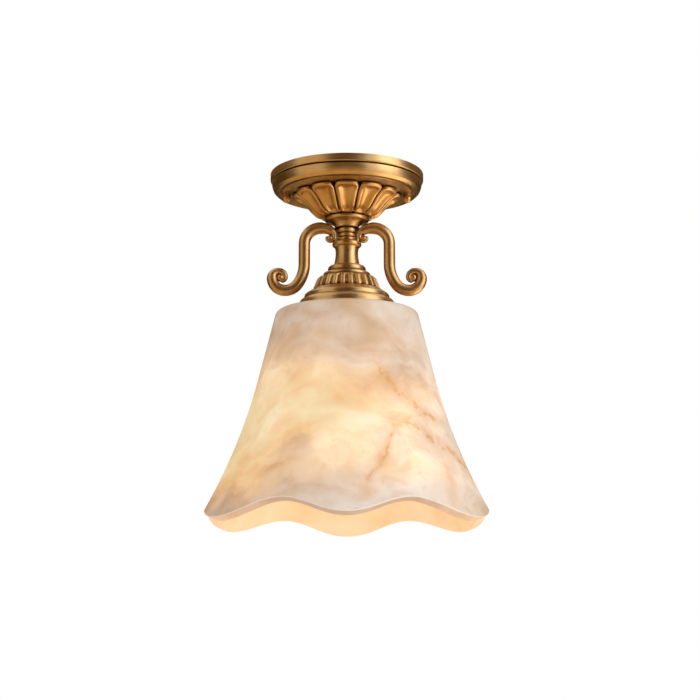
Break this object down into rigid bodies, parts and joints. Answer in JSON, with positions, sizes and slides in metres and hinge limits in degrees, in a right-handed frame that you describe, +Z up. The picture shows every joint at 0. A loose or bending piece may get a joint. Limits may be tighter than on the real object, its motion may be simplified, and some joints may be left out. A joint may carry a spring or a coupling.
{
  "type": "alabaster flush mount ceiling light",
  "caption": "Ceiling light with a stepped, petalled brass canopy, a scrolled stem and a lit, scalloped alabaster bell shade on a screw-cap lampholder.",
  "frame": {"origin": "centre of the ceiling plane, on the light's axis, between the two box screws", "axes": "+Z up into the ceiling, +X to the light's right seen from the front, -Y to the front"},
  "size_m": [0.2022, 0.212, 0.2594],
  "materials": {
    "antique_brass": "brushed antique",
    "zinc_steel": "zinc plated",
    "green_screw": "green passivated",
    "alabaster": "polished",
    "black_phenolic": "satin moulded",
    "gasket_rubber": "matt",
    "socket_ceramic": "matt",
    "contact_brass": "bright",
    "nickel_cap": "nickel plated",
    "black_glass": "glossy",
    "bulb_white": "satin",
    "led_board": "white coated",
    "opal_globe": "opal"
  },
  "bodies": {
    "fixture": {"ceiling_bracket": "zinc_steel", "earth_screw": "green_screw", "canopy_studs": "zinc_steel", "canopy_plate": "antique_brass", "canopy_cup": "antique_brass", "cup_screws": "zinc_steel", "threaded_tube": "zinc_steel", "tube_washer": "zinc_steel", "tube_nut": "zinc_steel", "stem_collar": "antique_brass", "stem_neck": "antique_brass", "stem_knop": "antique_brass", "stem_column": "antique_brass", "stem_base": "antique_brass", "gadroon_ring": "antique_brass", "shade_fitter": "antique_brass", "scroll_arm_left": "antique_brass", "scroll_arm_right": "antique_brass", "arm_pins": "zinc_steel", "lampholder_cap": "black_phenolic", "lampholder_body": "black_phenolic", "socket_insert": "socket_ceramic", "terminal_screws": "contact_brass", "socket_shell": "contact_brass", "centre_contact": "contact_brass"},
    "shade": {"upper_gasket": "gasket_rubber", "alabaster_shade": "alabaster", "lower_gasket": "gasket_rubber"},
    "shade_ring": {"shade_ring": "black_phenolic"},
    "bulb": {"bulb_tip": "nickel_cap", "bulb_insulator": "black_glass", "bulb_cap": "nickel_cap", "bulb_housing": "bulb_white", "bulb_board": "led_board", "bulb_globe": "opal_globe"},
    "washer_left": {"finial_washer_left": "antique_brass"},
    "nut_left": {"finial_nut_left": "antique_brass"},
    "washer_right": {"finial_washer_right": "antique_brass"},
    "nut_right": {"finial_nut_right": "antique_brass"}
  },
  "joints": [
    {"name": "shade_drop", "type": "slide", "parent": "fixture", "child": "shade", "axis": [0, 0, -1], "range_m": [0, 0.02]},
    {"name": "shade_ring_turn", "type": "hinge", "parent": "shade", "child": "shade_ring", "pos_m": [0, 0, -0.1154], "axis": [0, 0, -1], "range_deg": [0, 2880]},
    {"name": "bulb_withdraw", "type": "slide", "parent": "fixture", "child": "bulb", "axis": [0, 0, -1], "range_m": [0, 0.17]},
    {"name": "finial_left_drop", "type": "slide", "parent": "fixture", "child": "washer_left", "axis": [0, 0, -1], "range_m": [0, 0.0042]},
    {"name": "finial_left_turn", "type": "hinge", "parent": "washer_left", "child": "nut_left", "pos_m": [-0.04445, 0, -0.0179], "axis": [0, 0, -1], "range_deg": [0, 2160]},
    {"name": "finial_right_drop", "type": "slide", "parent": "fixture", "child": "washer_right", "axis": [0, 0, -1], "range_m": [0, 0.0042]},
    {"name": "finial_right_turn", "type": "hinge", "parent": "washer_right", "child": "nut_right", "pos_m": [0.04445, 0, -0.0179], "axis": [0, 0, -1], "range_deg": [0, 2160]}
  ],
  "couplings": [
    {"joint": "shade_ring_turn", "follows": "shade_drop", "rad_per_m": 2513.3},
    {"joint": "finial_left_turn", "follows": "finial_left_drop", "rad_per_m": 8976},
    {"joint": "finial_right_turn", "follows": "finial_right_drop", "rad_per_m": 8976}
  ]
}
